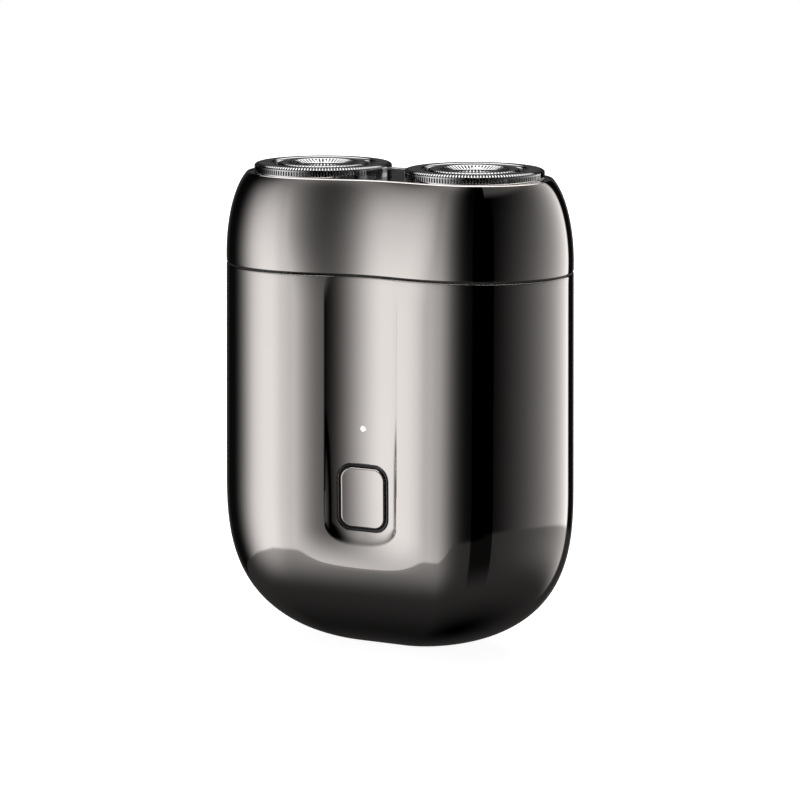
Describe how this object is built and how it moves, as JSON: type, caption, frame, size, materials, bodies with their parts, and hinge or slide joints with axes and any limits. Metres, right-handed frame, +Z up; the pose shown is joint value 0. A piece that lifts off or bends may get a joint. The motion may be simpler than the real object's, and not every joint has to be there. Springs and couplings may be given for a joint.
{
  "type": "rotary electric shaver",
  "caption": "Compact twin-head rotary shaver: mirror gun-metal body with a rounded foot, thumb channel with framed button, lift-off head with floating slotted steel caps.",
  "frame": {"origin": "centre of the flat resting face under the body", "axes": "+Z up through the head, +Y away from the button face, +X to the right as seen facing the button"},
  "size_m": [0.0628, 0.033, 0.083],
  "materials": {
    "shell_metal": "mirror gun-metal plating on moulded plastic",
    "black_gloss": "polished black",
    "black_plastic": "fine matte",
    "grey_plastic": "fine matte",
    "white_plastic": "smooth acetal",
    "lens": "clear",
    "led": "smooth",
    "board": "solder mask",
    "switch": "smooth",
    "red_plastic": "smooth",
    "socket_steel": "plated sheet",
    "battery_wrap": "shrink film",
    "nickel": "nickel strip",
    "motor_steel": "plated sheet",
    "screw_steel": "zinc plated",
    "brass": "machined",
    "rubber": "matte",
    "magnet": "nickel plated",
    "spring_steel": "drawn wire",
    "cap_steel": "mirror polished",
    "blade_steel": "ground"
  },
  "bodies": {
    "body": {"body_shell": "shell_metal", "button_bezel": "black_gloss", "light_pipe": "lens", "status_led": "led", "circuit_board": "board", "tact_switch": "switch", "charge_socket_shell": "socket_steel", "charge_socket_tongue": "black_plastic", "battery_cell": "battery_wrap", "battery_tabs": "nickel", "inner_chassis": "grey_plastic", "board_screws": "screw_steel", "motor_can": "motor_steel", "motor_end_cap": "white_plastic", "motor_screws": "screw_steel", "gearbox_base": "grey_plastic", "base_seal": "rubber", "gearbox_cover": "grey_plastic", "base_screws": "screw_steel", "cover_screws": "screw_steel", "gear_axles": "screw_steel", "spindle_seals": "rubber", "head_collar": "black_plastic", "head_magnets": "magnet"},
    "button": {"button_cap": "shell_metal", "switch_plunger": "red_plastic"},
    "motor_rotor": {"motor_shaft": "screw_steel", "motor_pinion": "brass"},
    "gear_left": {"drive_gear_left": "white_plastic", "spindle_spring_left": "spring_steel"},
    "gear_right": {"drive_gear_right": "white_plastic", "spindle_spring_right": "spring_steel"},
    "spindle_left": {"drive_spindle_left": "white_plastic"},
    "spindle_right": {"drive_spindle_right": "white_plastic"},
    "head": {"head_housing": "shell_metal", "head_frame": "black_gloss", "blade_retainer": "black_plastic", "retainer_screws": "screw_steel", "hair_chamber": "black_plastic", "keeper_plate": "magnet"},
    "cap_left": {"shaver_cap_left": "cap_steel", "cap_carrier_left": "black_plastic"},
    "cap_right": {"shaver_cap_right": "cap_steel", "cap_carrier_right": "black_plastic"},
    "cutter_left": {"cutter_left": "blade_steel", "cutter_hub_left": "white_plastic"},
    "cutter_right": {"cutter_right": "blade_steel", "cutter_hub_right": "white_plastic"}
  },
  "joints": [
    {"name": "button_press", "type": "slide", "parent": "body", "child": "button", "axis": [0, 1, 0], "range_m": [0, 0.00035], "stiffness_N_per_m": 1500, "springref_m": -0.0002},
    {"name": "gear_left_spin", "type": "hinge", "parent": "body", "child": "gear_left", "pos_m": [-0.014, 0, 0.0623], "axis": [0, 0, 1], "continuous": true},
    {"name": "gear_right_spin", "type": "hinge", "parent": "body", "child": "gear_right", "pos_m": [0.014, 0, 0.0623], "axis": [0, 0, 1], "continuous": true},
    {"name": "motor_spin", "type": "hinge", "parent": "body", "child": "motor_rotor", "pos_m": [0, 0, 0.0623], "axis": [0, 0, 1], "continuous": true},
    {"name": "spindle_left_slide", "type": "slide", "parent": "gear_left", "child": "spindle_left", "axis": [0, 0, 1], "range_m": [-0.001, 0], "deforming": ["spindle_spring_left"]},
    {"name": "spindle_right_slide", "type": "slide", "parent": "gear_right", "child": "spindle_right", "axis": [0, 0, 1], "range_m": [-0.001, 0], "deforming": ["spindle_spring_right"]},
    {"name": "head_lift", "type": "slide", "parent": "body", "child": "head", "axis": [0, 0, 1], "range_m": [0, 0.025]},
    {"name": "cap_left_float", "type": "slide", "parent": "head", "child": "cap_left", "axis": [0, 0, 1], "range_m": [-0.001, 0], "stiffness_N_per_m": 400, "springref_m": 0.002},
    {"name": "cap_right_float", "type": "slide", "parent": "head", "child": "cap_right", "axis": [0, 0, 1], "range_m": [-0.001, 0], "stiffness_N_per_m": 400, "springref_m": 0.002},
    {"name": "cutter_left_spin", "type": "hinge", "parent": "cap_left", "child": "cutter_left", "pos_m": [-0.014, 0, 0.0802], "axis": [0, 0, 1], "continuous": true},
    {"name": "cutter_right_spin", "type": "hinge", "parent": "cap_right", "child": "cutter_right", "pos_m": [0.014, 0, 0.0802], "axis": [0, 0, 1], "continuous": true}
  ],
  "couplings": [
    {"joint": "gear_right_spin", "follows": "gear_left_spin", "ratio": 1},
    {"joint": "motor_spin", "follows": "gear_left_spin", "ratio": -3},
    {"joint": "cutter_left_spin", "follows": "gear_left_spin", "ratio": 1},
    {"joint": "cutter_right_spin", "follows": "gear_left_spin", "ratio": 1},
    {"joint": "spindle_left_slide", "follows": "cap_left_float", "ratio": 1},
    {"joint": "spindle_right_slide", "follows": "cap_right_float", "ratio": 1}
  ]
}
